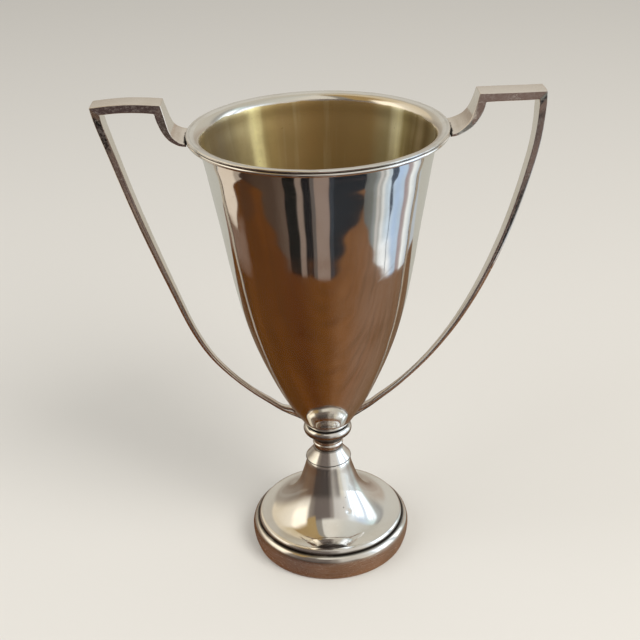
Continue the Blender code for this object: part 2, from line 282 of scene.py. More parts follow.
def fine_line(points, corners, closed):
    """Line with its corners rounded by wear and its other stretches turned into curves."""
    if closed and not corners:
        wrapped = np.concatenate([points[-LOOP_OVERLAP:], points, points[:LOOP_OVERLAP]])
        curve = natural_spline(wrapped, SPLINE_STEPS)
        return curve[LOOP_OVERLAP * SPLINE_STEPS:(LOOP_OVERLAP + len(points)) * SPLINE_STEPS]
    if closed:
        points = np.roll(points, -corners[0], axis=0)
        corners = [corner - corners[0] for corner in corners]
        points = np.concatenate([points, points[:1]])
        corners.append(len(points) - 1)
    marks = sorted({0, len(points) - 1, *corners})
    pieces = []
    for start, end in zip(marks, marks[1:]):
        stretch = points[start:end + 1].copy()
        if start in corners:
            step = stretch[1] - stretch[0]
            stretch[0] += step * min(WEAR_SHARE, WORN_CORNER / np.linalg.norm(step))
        if end in corners:
            step = stretch[-2] - stretch[-1]
            stretch[-1] += step * min(WEAR_SHARE, WORN_CORNER / np.linalg.norm(step))
        pieces.append(natural_spline(pinned(stretch), SPLINE_STEPS))
    rows = list(pieces[0])
    joins = marks[1:] if closed else marks[1:-1]
    for index, mark in enumerate(joins):
        onward = pieces[(index + 1) % len(pieces)]
        if mark in corners:
            rows.extend(corner_arc(pieces[index][-1], points[mark], onward[0]))
        if index + 1 < len(pieces):
            rows.extend(onward if mark in corners else onward[1:])
    return np.array(rows)


# ---------------------------------------------------------------- building meshes

def add_piece(node, points, faces):
    """Smooth-shaded silver piece that stands for a CAD node."""
    name = "polished_" + node
    mesh = bpy.data.meshes.new(name)
    mesh.from_pydata([tuple(point) for point in points], [], faces)
    shape = bmesh.new()
    shape.from_mesh(mesh)
    bmesh.ops.recalc_face_normals(shape, faces=shape.faces)
    shape.to_mesh(mesh)
    shape.free()
    mesh.shade_smooth()
    piece = bpy.data.objects.new(name, mesh)
    bpy.context.scene.collection.objects.link(piece)
    normals = piece.modifiers.new("even_normals", "WEIGHTED_NORMAL")
    normals.keep_sharp = True
    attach(piece, BODY)
    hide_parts(node)
    return piece


def outline_of(node):
    """Fine (radius, height) outline of a turned CAD node, and whether it closes on itself."""
    points, closed = cad_chain(node, lambda co: abs(co.y) < CLOSE and co.x > -CLOSE)
    flat = points[:, [0, 2]]
    if not closed:
        flat = np.array([(0.0, flat[0][1]), *flat, (0.0, flat[-1][1])])
    angles = turns(flat, closed)
    corners = [index for index, angle in enumerate(angles) if angle > CORNER_ANGLES[node]]
    return fine_line(flat, corners, closed), closed


def spun(node, shift=None):
    """Turned piece: the node's outline spun about Z.

    shift(angle, radius, height) gives how far a point is moved outwards and upwards.
    """
    outline, closed = outline_of(node)
    count = len(outline)
    angles = np.arange(SPIN_SEGMENTS) * math.tau / SPIN_SEGMENTS
    points = []
    rings = []
    for radius, height in outline:
        if radius < CLOSE:
            rings.append([len(points)] * SPIN_SEGMENTS)
            points.append((0.0, 0.0, height))
            continue
        rings.append(list(range(len(points), len(points) + SPIN_SEGMENTS)))
        for angle in angles:
            outwards, upwards = shift(angle, radius, height) if shift else (0.0, 0.0)
            out = radius + outwards
            points.append((out * math.cos(angle), out * math.sin(angle), height + upwards))
    faces = []
    for row in range(count if closed else count - 1):
        ring, following = rings[row], rings[(row + 1) % count]
        for index in range(SPIN_SEGMENTS):
            after = (index + 1) % SPIN_SEGMENTS
            face = (ring[index], ring[after], following[after], following[index])
            faces.append(tuple(dict.fromkeys(face)))
    return add_piece(node, points, faces)


def handle_rails(node):
    """The outer and the inner line of a handle's +Y edges, from the rim to the bowl."""
    places = np.array([vert.co[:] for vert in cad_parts[node].data.vertices])

    def widest(co):
        near = np.hypot(places[:, 0] - co.x, places[:, 2] - co.z) < SAME_STATION
        return co.y > 0 and co.y > places[near, 1].max() - CLOSE

    loop, _ = cad_chain(node, widest, HANDLE_SHARP)
    first = max(range(len(loop)),
                key=lambda index: (abs(loop[index][0]) < RIM_END, loop[index][2]))
    loop = np.roll(loop, -first, axis=0)
    if abs(loop[1][0]) < RIM_END:
        loop = np.concatenate([loop[:1], loop[:0:-1]])
    low = int(np.argmin(loop[:, 2]))
    return loop[:low + 1], loop[low + 1:][::-1]


def even_samples(points, count):
    """The given number of points, evenly spaced along a smooth curve through the points."""
    curve = natural_spline(points, SPLINE_STEPS)
    along = np.concatenate([[0], np.cumsum(np.linalg.norm(np.diff(curve, axis=0), axis=1))])
    wanted = np.linspace(0, along[-1], count)
    return np.stack([np.interp(wanted, along, curve[:, axis]) for axis in range(3)], axis=1)


def fine_rail(rail):
    """Evenly sampled ramp, bar and arm of a rail, joined by slightly rounded corners."""
    angles = turns(rail[:, [0, 2]], False)
    corners = sorted(np.argsort(angles)[-2:])
    marks = [0, *corners, len(rail) - 1]
    stretches = []
    for start, end in zip(marks, marks[1:]):
        stretch = rail[start:end + 1].copy()
        if start in corners:
            stretch[0] += unit(stretch[1] - stretch[0]) * HANDLE_MITRE
        if end in corners:
            stretch[-1] += unit(stretch[-2] - stretch[-1]) * HANDLE_MITRE
        stretches.append(stretch)
    rows = []
    for index, (stretch, count) in enumerate(zip(stretches, RAIL_SAMPLES)):
        samples = even_samples(stretch, count)
        if index:
            rows.extend(corner_arc(before, rail[corners[index - 1]], samples[0]))
        rows.extend(samples)
        before = samples[-1]
    return np.array(rows)


def strip_section(half_width, half_thickness, roundness):
    """Points (across, up) round a strip: rounded edges, broad faces a little crowned.

    With roundness 0 the edges are only worn, with 1 they take up most of the thickness.
    """
    edge = min(HANDLE_EDGE, FACED_EDGE_SHARE * half_thickness)
    edge += roundness * (ROUND_EDGE_SHARE * half_thickness - edge)
    ring = []
    for corner, (side, up) in enumerate(SECTION_CORNERS):
        centre = (side * (half_width - edge), up * (half_thickness - edge))
        for angle in np.radians(np.linspace(0, 90, EDGE_STEPS + 1) + 90 * corner):
            ring.append((centre[0] + edge * math.cos(angle), centre[1] + edge * math.sin(angle)))
        following = SECTION_CORNERS[(corner + 1) % len(SECTION_CORNERS)]
        target = (following[0] * (half_width - edge), following[1] * (half_thickness - edge))
        outward = (0.0, up * edge) if corner in (0, 2) else (side * edge, 0.0)
        for share in np.linspace(0, 1, FACE_STEPS + 1)[1:-1]:
            ring.append((centre[0] + (target[0] - centre[0]) * share + outward[0],
                         centre[1] + (target[1] - centre[1]) * share + outward[1]))
    crowned = []
    for across, up in ring:
        fall = HANDLE_CROWN * (across / half_width) ** 2
        crowned.append((across, up - math.copysign(min(fall, abs(up)), up)))
    return crowned


def swept_handle(node):
    """Handle with a rounded section swept between its rails, its wide end hollowed to the rim."""
    outer, inner = (fine_rail(rail) for rail in handle_rails(node))
    side = math.copysign(1, outer[0][0])
    points = []
    rings = []
    for index, (out, into) in enumerate(zip(outer, inner)):
        half_width = (out[1] + into[1]) / 2
        middle = (out + into) / 2
        upward = (out - into) / 2
        half_thickness = math.hypot(upward[0], upward[2])
        upward = upward / half_thickness
        ring = []
        down_arm = index / len(outer) - ARM_ROUNDS_FROM
        roundness = min(1.0, max(0.0, down_arm / ARM_ROUNDING_LENGTH))
        for across, up in strip_section(half_width, half_thickness, roundness):
            place = middle + upward * up
            reach = abs(place[0])
            hollow = math.hypot(reach, half_width)
            near = max(0.0, 1 - index / RIM_HOLLOW_STATIONS)
            reach += near * (math.sqrt(hollow ** 2 - across ** 2) - reach)
            ring.append(len(points))
            points.append((side * reach, across, place[2]))
        rings.append(ring)
    faces = []
    for ring, following in zip(rings, rings[1:]):
        for index in range(len(ring)):
            after = (index + 1) % len(ring)
            faces.append((ring[index], ring[after], following[after], following[index]))
    faces += [tuple(rings[0]), tuple(rings[-1])]
    return add_piece(node, points, faces)


# ---------------------------------------------------------------- node trees

def linear(code):
    """Linear colour of a six-digit sRGB code."""
    parts = [int(code[index:index + 2], 16) / 255 for index in (0, 2, 4)]
    return (*(part / 12.92 if part < 0.04045 else ((part + 0.055) / 1.055) ** 2.4
              for part in parts), 1.0)


class Graph:
    """Short calls that add nodes to a tree; a number, a colour or a socket can feed any input."""

    def __init__(self, tree):
        self.tree = tree
        tree.nodes.clear()

    def feed(self, socket, value):
        if isinstance(value, bpy.types.NodeSocket):
            self.tree.links.new(value, socket)
        else:
            socket.default_value = value

    def add(self, kind, inputs=None, **settings):
        node = self.tree.nodes.new("ShaderNode" + kind)
        for key, value in settings.items():
            setattr(node, key, value)
        for key, value in (inputs or {}).items():
            self.feed(node.inputs[key], value)
        return node

    def math(self, operation, *values):
        return self.add("Math", dict(enumerate(values)), operation=operation).outputs[0]

    def step(self, value, low, high):
        """0 below low, 1 above high and smooth between; low may be above high."""
        node = self.add("MapRange", {"Value": value, "From Min": low, "From Max": high},
                        interpolation_type="SMOOTHSTEP")
        return node.outputs["Result"]

    def inside(self, value, low, high, soft):
        """1 between low and high, 0 outside, with soft ends."""
        rise = self.step(value, low - soft, low + soft)
        fall = self.step(value, high + soft, high - soft)
        return self.math("MULTIPLY", rise, fall)

    def mix(self, share, first, second):
        """A colour between two others."""
        node = self.add("Mix", {0: share}, data_type="RGBA")
        self.feed(node.inputs[6], first)
        self.feed(node.inputs[7], second)
        return node.outputs[2]

    def noise(self, vector, scale, detail=2.0, roughness=0.5):
        node = self.add("TexNoise", {"Vector": vector, "Scale": scale, "Detail": detail,
                                     "Roughness": roughness})
        return node.outputs[0]

    def ramp(self, value, stops):
        """Colours by value; the stops are (value, sRGB code) over any range."""
        low, high = stops[0][0], stops[-1][0]
        share = self.add("MapRange", {"Value": value, "From Min": low, "From Max": high})
        node = self.add("ValToRGB", {"Fac": share.outputs["Result"]})
        ramp = node.color_ramp
        ramp.interpolation = "EASE"
        while len(ramp.elements) < len(stops):
            ramp.elements.new(0.5)
        for element, (place, code) in zip(ramp.elements, stops):
            element.position = (place - low) / (high - low)
            element.color = linear(code)
        return node.outputs["Color"]

    def scaled(self, vector, factors, turn=(0.0, 0.0, 0.0)):
        node = self.add("Mapping", {"Vector": vector, "Scale": factors, "Rotation": turn})
        return node.outputs[0]

    def gap(self, first, second):
        """Distance between two points."""
        node = self.add("VectorMath", {0: first, 1: second}, operation="DISTANCE")
        return node.outputs["Value"]

    def split(self, vector):
        return self.add("SeparateXYZ", {0: vector}).outputs

    def mirrors_see(self, plain, mirrored):
        """One shader for mirror rays, another for the camera and all other light."""
        seen = self.add("LightPath").outputs["Is Glossy Ray"]
        return self.add("MixShader", {0: seen, 1: plain, 2: mirrored}).outputs[0]


def new_material(name):
    """An empty material and the calls that fill its node tree."""
    made = bpy.data.materials.new(name)
    made.use_nodes = True
    graph = Graph(made.node_tree)
    return made, graph


# ---------------------------------------------------------------- finishes

def ring_at(node, highest, innermost=False):
    """(radius, height) of a turned node's edge at its highest or lowest level."""
    places = np.array([vert.co[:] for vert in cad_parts[node].data.vertices])
    height = places[:, 2].max() if highest else places[:, 2].min()
    radii = np.hypot(*places[np.abs(places[:, 2] - height) < CLOSE, :2].T)
    return float(radii.min() if innermost else radii.max()), float(height)


def seams_and_shaded_rings():
    """(radius, height, width of the darkening, darkness) of the dark rings round the axis: tarnish at
    each seam and in the recess under the knop, painted shade on the knop's lower half.
    """
    radius, height = ring_at("knop_ring", False)
    neck_top = (0.82 * radius, height - 0.0012)
    # Painted shade: these two rings darken the knop's lower half, standing for the dark it mirrors
    # there.
    shaded_knop_underside = (1.10 * radius, height)
    shaded_bead_underside = (1.20 * radius, height + 0.0008)
    return ((*ring_at("bowl", False), 0.0010, 1.0),
            (*neck_top, 0.0022, 1.0),
            (*shaded_knop_underside, 0.0044, 0.97),
            (*shaded_bead_underside, 0.0026, 1.0),
            (*ring_at("collar", True), 0.0011, 0.6),
            (*ring_at("collar", False), 0.0007, 1.0),
            (*ring_at("foot_border", True, True), 0.0014, 1.0),
            (*ring_at("rim_wire", True, True), 0.0012, 0.9))


def joint_spots():
    """(x, y, z) where the handles' arms are soldered to the bowl."""
    spots = []
    for node in ("handle_left", "handle_right"):
        low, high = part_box(node)
        side = math.copysign(1, high.x + low.x)
        foot = min((abs(vert.co.x), vert.co.z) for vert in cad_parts[node].data.vertices)
        spots.append((side * foot[0], 0.0, foot[1] - 0.002))
    return spots


def rim_joint(graph, place, level):
    """1 in the thin dark line where a handle's wide end meets the rim, uneven in width."""
    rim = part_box("rim_wire")
    gap = graph.gap(level, (rim[1].x, 0.5 * (rim[0].z + rim[1].z), 0.0))
    width = graph.math("MULTIPLY_ADD", graph.noise(place, 420.0), 0.0014, 0.0001)
    near = graph.step(graph.math("SUBTRACT", gap, width), 0.0003, -0.0003)
    off_middle = graph.math("ABSOLUTE", graph.split(place)[1])
    across = graph.step(off_middle, RIM_JOINT_HALF + 0.0006, RIM_JOINT_HALF - 0.0006)
    return graph.math("MULTIPLY", near, across)


def around_axis(graph):
    """A point, the same as (metres round WRAP_RADIUS, height, radius), its height, its radius."""
    place = graph.add("TexCoord").outputs["Object"]
    x, y, z = graph.split(place)
    turn = graph.math("ARCTAN2", y, x)
    radius = graph.math("SQRT", graph.math("ADD", graph.math("MULTIPLY", x, x),
                                           graph.math("MULTIPLY", y, y)))
    round_way = graph.math("MULTIPLY", turn, WRAP_RADIUS)
    wrapped = graph.add("CombineXYZ", {0: round_way, 1: z, 2: radius}).outputs[0]
    return place, wrapped, z, radius


def tarnish_and_shade(graph, place, height, radius, cloud):
    """How much darkening sits at a point: 1 in a seam, uneven, fading out beside it. Tarnish at each
    seam, joint and pit; painted shade on the knop's lower half.
    """
    level = graph.add("CombineXYZ", {0: radius, 1: height, 2: 0.0}).outputs[0]
    total = 0.0
    for ring_radius, ring_height, width, darkness in seams_and_shaded_rings():
        gap = graph.gap(level, (ring_radius, ring_height, 0.0))
        near = graph.step(gap, width, 0.25 * width)
        total = graph.math("MAXIMUM", graph.math("MULTIPLY", near, darkness), total)
    for spot in joint_spots():
        near = graph.step(graph.gap(place, spot), ARM_JOINT_DIRT, 0.25 * ARM_JOINT_DIRT)
        total = graph.math("MAXIMUM", graph.math("MULTIPLY", near, 0.8), total)
    for *spot, size in PITS:
        near = graph.step(graph.gap(place, spot), size, 0.4 * size)
        total = graph.math("MAXIMUM", graph.math("MULTIPLY", near, 0.6), total)
    total = graph.math("MAXIMUM", rim_joint(graph, place, level), total)
    return graph.math("MULTIPLY", total, graph.step(cloud, 0.15, 0.5))


def fine_scratches(graph, place, turn, length, thickness, rarity):
    """Many straight scratches in one direction: 1 on a scratch, 0 elsewhere."""
    across = graph.scaled(place, (1 / length, 1 / thickness, 1 / length), turn)
    field = graph.noise(across, 1.0, detail=3.0, roughness=0.7)
    return graph.step(field, rarity, rarity + 0.03)


def single_scratch(graph, wrapped, middle, angle, length, thickness):
    """One scratch at (degrees round from the front, height), turned by an angle."""
    start = ((middle[0] - 90) / 180 * math.pi * WRAP_RADIUS, middle[1], 0.0)
    moved = graph.add("VectorMath", {0: wrapped, 1: start}, operation="SUBTRACT").outputs[0]
    turned = graph.add("VectorRotate", {"Vector": moved, "Angle": -math.radians(angle)},
                       rotation_type="Z_AXIS").outputs[0]
    along, across, _ = graph.split(turned)
    wave = graph.math("MULTIPLY_ADD", graph.noise(wrapped, 900.0), 0.0003, -0.00015)
    off = graph.math("ABSOLUTE", graph.math("ADD", across, wave))
    on_line = graph.step(off, thickness, 0.4 * thickness)
    within = graph.inside(along, -length / 2, length / 2, length / 8)
    return graph.math("MULTIPLY", on_line, within)


def silver_lines(graph, along, wrapped, scratched, singles):
    """All scratches in the silver: 1 on a scratch, 0 elsewhere."""
    lines = 0.0
    for way, length, thickness, rarity in WIPING_MARKS:
        marks = fine_scratches(graph, along, way, length, thickness, rarity - scratched)
        lines = graph.math("MAXIMUM", lines, marks)
    for middle, angle, length, thickness in singles:
        scratch = single_scratch(graph, wrapped, middle, angle, length, thickness)
        lines = graph.math("MAXIMUM", lines, scratch)
    return lines


def silver_material(name, turned_piece, base, tarnish, scratched, singles=(), mottled=0.0,
                    dull_below=None):
    """Old silver plate: a mirror veiled by wiping marks, tarnished in clouds and at each seam, with
    painted shade on the knop's lower half.

    Mottled silver has small dull patches. Below the height dull_below it is rubbed dull by
    handling and by standing on shelves.
    """
    made, graph = new_material(name)
    place, wrapped, height, radius = around_axis(graph)
    along = wrapped if turned_piece else place
    cloud = graph.noise(place, 45.0, detail=4.0, roughness=0.55)
    specks = graph.noise(place, 700.0, detail=3.0, roughness=0.65)
    smear = graph.noise(graph.scaled(along, (60.0, 500.0, 500.0)), 1.0, detail=4.0)
    spin_marks = graph.noise(graph.scaled(along, (25.0, 5000.0, 900.0)), 1.0, detail=2.0)
    lines = silver_lines(graph, along, wrapped, scratched, singles)
    age = graph.math("MULTIPLY", graph.step(cloud, 0.42, 0.75), tarnish)
    colour = graph.mix(age, linear(base), linear("cdbda2"))
    spots = graph.math("MULTIPLY", graph.step(specks, 0.66, 0.74), 0.5 * tarnish)
    colour = graph.mix(spots, colour, linear("6e5a44"))
    # Tarnish at each seam, joint and pit, and painted shade on the knop's lower half.
    tarnish_and_shade_share = tarnish_and_shade(graph, place, height, radius, cloud)
    colour = graph.mix(graph.math("MULTIPLY", tarnish_and_shade_share, 0.93), colour, linear("231b14"))
    rough = graph.math("MULTIPLY_ADD", smear, 0.06, 0.04)
    rough = graph.math("MULTIPLY_ADD", lines, 0.12, rough)
    rough = graph.math("MULTIPLY_ADD", spots, 0.2, rough)
    rough = graph.math("MULTIPLY_ADD", tarnish_and_shade_share, 0.35, rough)
    metal = graph.math("MULTIPLY_ADD", lines, -0.03, 1 - HAZE)
    if mottled:
        patches = graph.noise(graph.scaled(place, (800.0, 800.0, 1100.0)), 1.0, detail=4.0,
                              roughness=0.7)
        patches = graph.math("MULTIPLY", graph.step(patches, 0.48, 0.62), mottled)
        rough = graph.math("MULTIPLY_ADD", patches, 0.22, rough)
        metal = graph.math("MULTIPLY_ADD", patches, -0.10, metal)
    if dull_below:
        dull = graph.math("MULTIPLY", graph.step(height, dull_below, dull_below - DULL_EDGE),
                          graph.math("MULTIPLY_ADD", specks, 0.9, 0.35))
        rough = graph.math("MULTIPLY_ADD", dull, 0.20, rough)
        metal = graph.math("MULTIPLY_ADD", dull, -0.08, metal)
    heights = graph.math("MULTIPLY_ADD", lines, -0.6, graph.math("MULTIPLY", spin_marks, 0.05))
    bump = graph.add("Bump", {"Strength": 0.05, "Distance": 0.00004, "Height": heights})
    shiny = graph.add("BsdfPrincipled", {"Base Color": colour, "Metallic": metal,
                                         "Roughness": rough, "Normal": bump.outputs[0]})
    graph.add("OutputMaterial", {"Surface": shiny.outputs[0]})
    return made


def gilt_material():
    """Silver at the lip, then worn satin gilding from a slightly uneven edge down; its tones by angle
    round the bowl paint lighter and darker sides and pale upright highlight streaks.
    """
    made, graph = new_material("bowl_inside")
    place, wrapped, height, _ = around_axis(graph)
    cloud = graph.noise(place, 60.0, detail=5.0, roughness=0.6)
    streaks = graph.noise(graph.scaled(wrapped, (330.0, 14.0, 1.0)), 1.0, detail=3.0)
    specks = graph.noise(place, 500.0, detail=4.0, roughness=0.7)
    wobble = graph.math("MULTIPLY_ADD", graph.noise(place, 130.0), 0.0012, RIM_TOP - GILT_EDGE)
    gilt = graph.step(graph.math("SUBTRACT", height, wobble), 0.00025, -0.00025)
    turn = graph.math("MULTIPLY", graph.split(wrapped)[0], 180 / math.pi / WRAP_RADIUS)
    turn = graph.math("ADD", turn, graph.math("MULTIPLY_ADD", streaks, 5.0, -2.5))
    # Painted light: the tones by angle give lit and shaded sides and pale highlight streaks.
    gold = graph.ramp(turn, GILT_TONES_AND_HIGHLIGHTS)
    gold = graph.mix(graph.math("MULTIPLY", graph.step(cloud, 0.4, 0.75), 0.35), gold,
                     linear("a08a58"))
    worn = graph.math("MULTIPLY", graph.step(streaks, 0.52, 0.8), 0.25)
    gold = graph.mix(worn, gold, linear("e6dcb8"))
    gold = graph.mix(graph.math("MULTIPLY", graph.step(specks, 0.66, 0.72), 0.35), gold,
                     linear("7d6436"))
    colour = graph.mix(gilt, linear("ece6dc"), gold)
    polish = graph.math("MULTIPLY_ADD", cloud, 0.10, 0.08)
    rough = graph.math("MULTIPLY_ADD", gilt, 0.18, polish)
    marks = graph.noise(graph.scaled(wrapped, (90.0, 2600.0, 1.0)), 1.0, detail=2.0)
    bump = graph.add("Bump", {"Strength": 0.10, "Distance": 0.00008, "Height": marks})
    tangent = graph.add("Tangent", direction_type="RADIAL", axis="Z").outputs[0]
    # Less metallic in the painted highlight streak, so the soft light brightens it further.
    off_streak = graph.math("ABSOLUTE", graph.math("SUBTRACT", turn, GILT_HIGHLIGHT_STREAK))
    veil = graph.math("MULTIPLY_ADD", graph.step(off_streak, 6.0, 2.0), 0.37, 0.28)
    metal = graph.math("SUBTRACT", 1.0, graph.math("MULTIPLY", gilt, veil))
    shiny = graph.add("BsdfPrincipled", {"Base Color": colour, "Metallic": metal,
                                         "Roughness": rough, "Anisotropic": 0.75,
                                         "Anisotropic Rotation": 0.25,
                                         "Tangent": tangent, "Normal": bump.outputs[0]})
    graph.add("OutputMaterial", {"Surface": shiny.outputs[0]})
    return made


def dull_metal_material(name, code, roughness):
    """Turned brass or steel, left dull inside the foot."""
    made, graph = new_material(name)
    place, wrapped, _, _ = around_axis(graph)
    turned_marks = graph.noise(graph.scaled(wrapped, (30.0, 4000.0, 4000.0)), 1.0)
    cloud = graph.noise(place, 250.0, detail=4.0)
    colour = graph.mix(graph.math("MULTIPLY", cloud, 0.5), linear(code), linear("4a3a22"))
    rough = graph.math("MULTIPLY_ADD", cloud, 0.2, roughness)
    bump = graph.add("Bump", {"Strength": 0.3, "Distance": 0.00005, "Height": turned_marks})
    shiny = graph.add("BsdfPrincipled", {"Base Color": colour, "Metallic": 1.0,
                                         "Roughness": rough, "Normal": bump.outputs[0]})
    graph.add("OutputMaterial", {"Surface": shiny.outputs[0]})
    return made


# ---------------------------------------------------------------- the studio

def degrees_round(graph, x, y):
    """Compass angle in degrees: 0 towards the viewer, positive to the right."""
    back = graph.math("MULTIPLY", y, -1.0)
    return graph.math("MULTIPLY", graph.math("ARCTAN2", x, back), 180 / math.pi)


def wood_colour(graph, place, turn):
    """Brown table top: warm to the left, veiled by window light to the right, with grain."""
    grain = graph.noise(graph.scaled(place, (9.0, 90.0, 1.0)), 1.0, detail=5.0, roughness=0.6)
    broad = graph.noise(graph.scaled(place, (5.0, 16.0, 1.0)), 1.0, detail=2.0)
    wood = graph.ramp(turn, WOOD_TONES)
    wood = graph.mix(graph.math("MULTIPLY", graph.step(grain, 0.35, 0.75), 0.35), wood,
                     linear("2e1a06"))
    return graph.mix(graph.math("MULTIPLY", graph.step(broad, 0.45, 0.75), 0.35), wood,
                     linear("7e4c1c"))


def front_colour(graph, turn, distance):
    """The dim room beyond the table's front edge, with dark upright bars and a rug further on."""
    front = graph.ramp(turn, FRONT_TONES)
    for low, high, code in FRONT_BARS:
        front = graph.mix(graph.inside(turn, low, high, 0.7), front, linear(code))
    far = graph.mix(graph.step(turn, -2, 2), linear("4a3c3b"), linear("7d6c66"))
    onto_rug = graph.step(distance, RUG_FROM, RUG_FROM + 0.08)
    return graph.mix(graph.math("MULTIPLY", onto_rug, 0.8), front, far)


def window_colour(graph, turn, distance):
    """Bright window beyond the table's right edge, in upright stripes, with a dark mark."""
    window = graph.ramp(turn, WINDOW_TONES)
    low_glow = graph.step(distance, WINDOW_SILL, TABLE_RIGHT)
    window = graph.mix(graph.math("MULTIPLY", low_glow, graph.inside(turn, 66, 84, 6)), window,
                       (1.0, 1.05, 1.1, 1.0))
    tip = graph.math("MULTIPLY", graph.math("SUBTRACT", distance, WINDOW_SILL), 60.0)
    off = graph.math("ABSOLUTE", graph.math("SUBTRACT", turn, WINDOW_MARK))
    mark = graph.step(graph.math("SUBTRACT", off, tip), 0.5, -0.5)
    mark = graph.math("MULTIPLY", mark, graph.step(off, 4.6, 3.8))
    stem = graph.math("MULTIPLY", graph.step(off, 0.8, 0.4), 0.7)
    return graph.mix(graph.math("MAXIMUM", mark, stem), window, linear("4a5361"))


def past_left_edge(graph, edge_x, y):
    """1 beyond the table's slightly slanted left edge, behind a slanted line."""
    start, slope = TABLE_LEFT_SLOPE
    edge = graph.math("MULTIPLY_ADD", graph.math("SUBTRACT", y, start), slope, TABLE_LEFT)
    past = graph.step(graph.math("SUBTRACT", edge_x, edge), 0.001, -0.001)
    start, slope = TABLE_LEFT_CUT
    behind = graph.math("SUBTRACT", graph.math("MULTIPLY_ADD", edge_x, slope, y), start)
    return graph.math("MULTIPLY", past, graph.step(behind, -0.003, 0.003))


def past_front_edge(graph, x, edge_y):
    """1 beyond the table's front edge, which bends away from the viewer at both ends."""
    start, slope = TABLE_FRONT_LEFT_BEND
    left_end = graph.math("MAXIMUM", graph.math("SUBTRACT", start, x), 0.0)
    edge = graph.math("MULTIPLY_ADD", left_end, slope, TABLE_FRONT)
    start, slope = TABLE_FRONT_RIGHT_BEND
    right_end = graph.math("MAXIMUM", graph.math("SUBTRACT", x, start), 0.0)
    edge = graph.math("MULTIPLY_ADD", right_end, slope, edge)
    return graph.step(graph.math("SUBTRACT", edge_y, edge), 0.003, -0.003)


def past_right_edge(graph, edge_x, y, turn):
    """1 beyond the table's right edge, which slants inwards to the front."""
    start, slope = TABLE_RIGHT_BEND
    towards_viewer = graph.math("MAXIMUM", graph.math("SUBTRACT", start, y), 0.0)
    edge = graph.math("MULTIPLY_ADD", towards_viewer, slope, TABLE_RIGHT)
    past = graph.step(graph.math("SUBTRACT", edge_x, edge), -0.002, 0.002)
    return graph.math("MULTIPLY", past, graph.step(turn, WINDOW_FROM - 0.5, WINDOW_FROM + 0.5))


def sheen_on_floor(graph):
    """How much of the low room shows in the table at a slant, for the foot and the stem."""
    steep = graph.split(graph.add("NewGeometry").outputs["Incoming"])[2]
    from_height = graph.math("MULTIPLY", graph.add("LightPath").outputs["Ray Length"], steep)
    flat, upright = SHEEN_STEEPNESS
    sheen = graph.math("MULTIPLY", graph.step(steep, upright, flat), SHEEN)
    sheen = graph.math("MULTIPLY", sheen, graph.step(from_height, SHEEN_TOP + 0.01, SHEEN_TOP))
    return graph.math("MULTIPLY", sheen,
                      graph.step(from_height, SHEEN_FOOT, SHEEN_FOOT + 0.003))


def painted_floor_reflection(graph):
    """Painted reflection that the floor shows to mirror rays: a brown table, and past its edges a
    room.
    """
    place = graph.add("NewGeometry").outputs["Position"]
    x, y, _ = graph.split(place)
    turn = degrees_round(graph, x, y)
    distance = graph.add("VectorMath", {0: place}, operation="LENGTH").outputs["Value"]
    wave = graph.math("MULTIPLY_ADD", graph.noise(place, 16.0), EDGE_WAVE, -0.5 * EDGE_WAVE)
    edge_x = graph.math("ADD", x, wave)
    edge_y = graph.math("ADD", y, wave)
    past_front = past_front_edge(graph, x, edge_y)
    veil = graph.math("MULTIPLY", graph.inside(x, TABLE_LEFT, TABLE_LEFT + 0.045, 0.012),
                      graph.step(y, -0.01, 0.03))
    corner = graph.math("MULTIPLY", graph.step(x, TABLE_CORNER, TABLE_LEFT),
                        graph.step(y, 0.015, -0.015))
    corner = graph.math("MULTIPLY", corner, graph.step(past_front, 1.0, 0.0))
    shown = wood_colour(graph, place, turn)
    shown = graph.mix(graph.math("MULTIPLY", veil, 0.6), shown, linear("8c7669"))
    shown = graph.mix(past_left_edge(graph, edge_x, y), shown, linear("dccdbb"))
    shown = graph.mix(past_front, shown, front_colour(graph, turn, distance))
    shown = graph.mix(graph.math("MULTIPLY", corner, 0.5), shown, linear("3d281a"))
    shown = graph.mix(past_right_edge(graph, edge_x, y, turn), shown,
                      window_colour(graph, turn, distance))
    shown = graph.mix(graph.step(y, WALL_BEHIND - 0.004, WALL_BEHIND + 0.004), shown,
                      linear("bbb9af"))
    return graph.mix(sheen_on_floor(graph), shown, graph.ramp(turn, LOW_TONES))


def floor_material():
    """Plain and pale to the camera and to soft light; to mirror rays it glows with a painted
    reflection of a table and a room.
    """
    made, graph = new_material("pale_floor_and_painted_reflection")
    pale = graph.add("BsdfDiffuse", {"Color": linear("d9d6d0")})
    # The floor glows with the painted reflection for mirror rays only.
    mirrored = graph.add("Emission", {"Color": painted_floor_reflection(graph), "Strength": 1.0})
    both = graph.mirrors_see(pale.outputs[0], mirrored.outputs[0])
    graph.add("OutputMaterial", {"Surface": both})
    return made


def add_stage():
    """The plain floor, just under the foot."""
    mesh = bpy.data.meshes.new("floor")
    corners = [(FLOOR_REACH * x, FLOOR_REACH * y, 0) for x, y in ((-1, -1), (1, -1), (1, 1), (-1, 1))]
    mesh.from_pydata(corners, [], [(0, 1, 2, 3)])
    mesh.materials.append(floor_material())
    floor = bpy.data.objects.new("floor", mesh)
    bpy.context.scene.collection.objects.link(floor)
    floor.location.z = -FLOOR_DROP


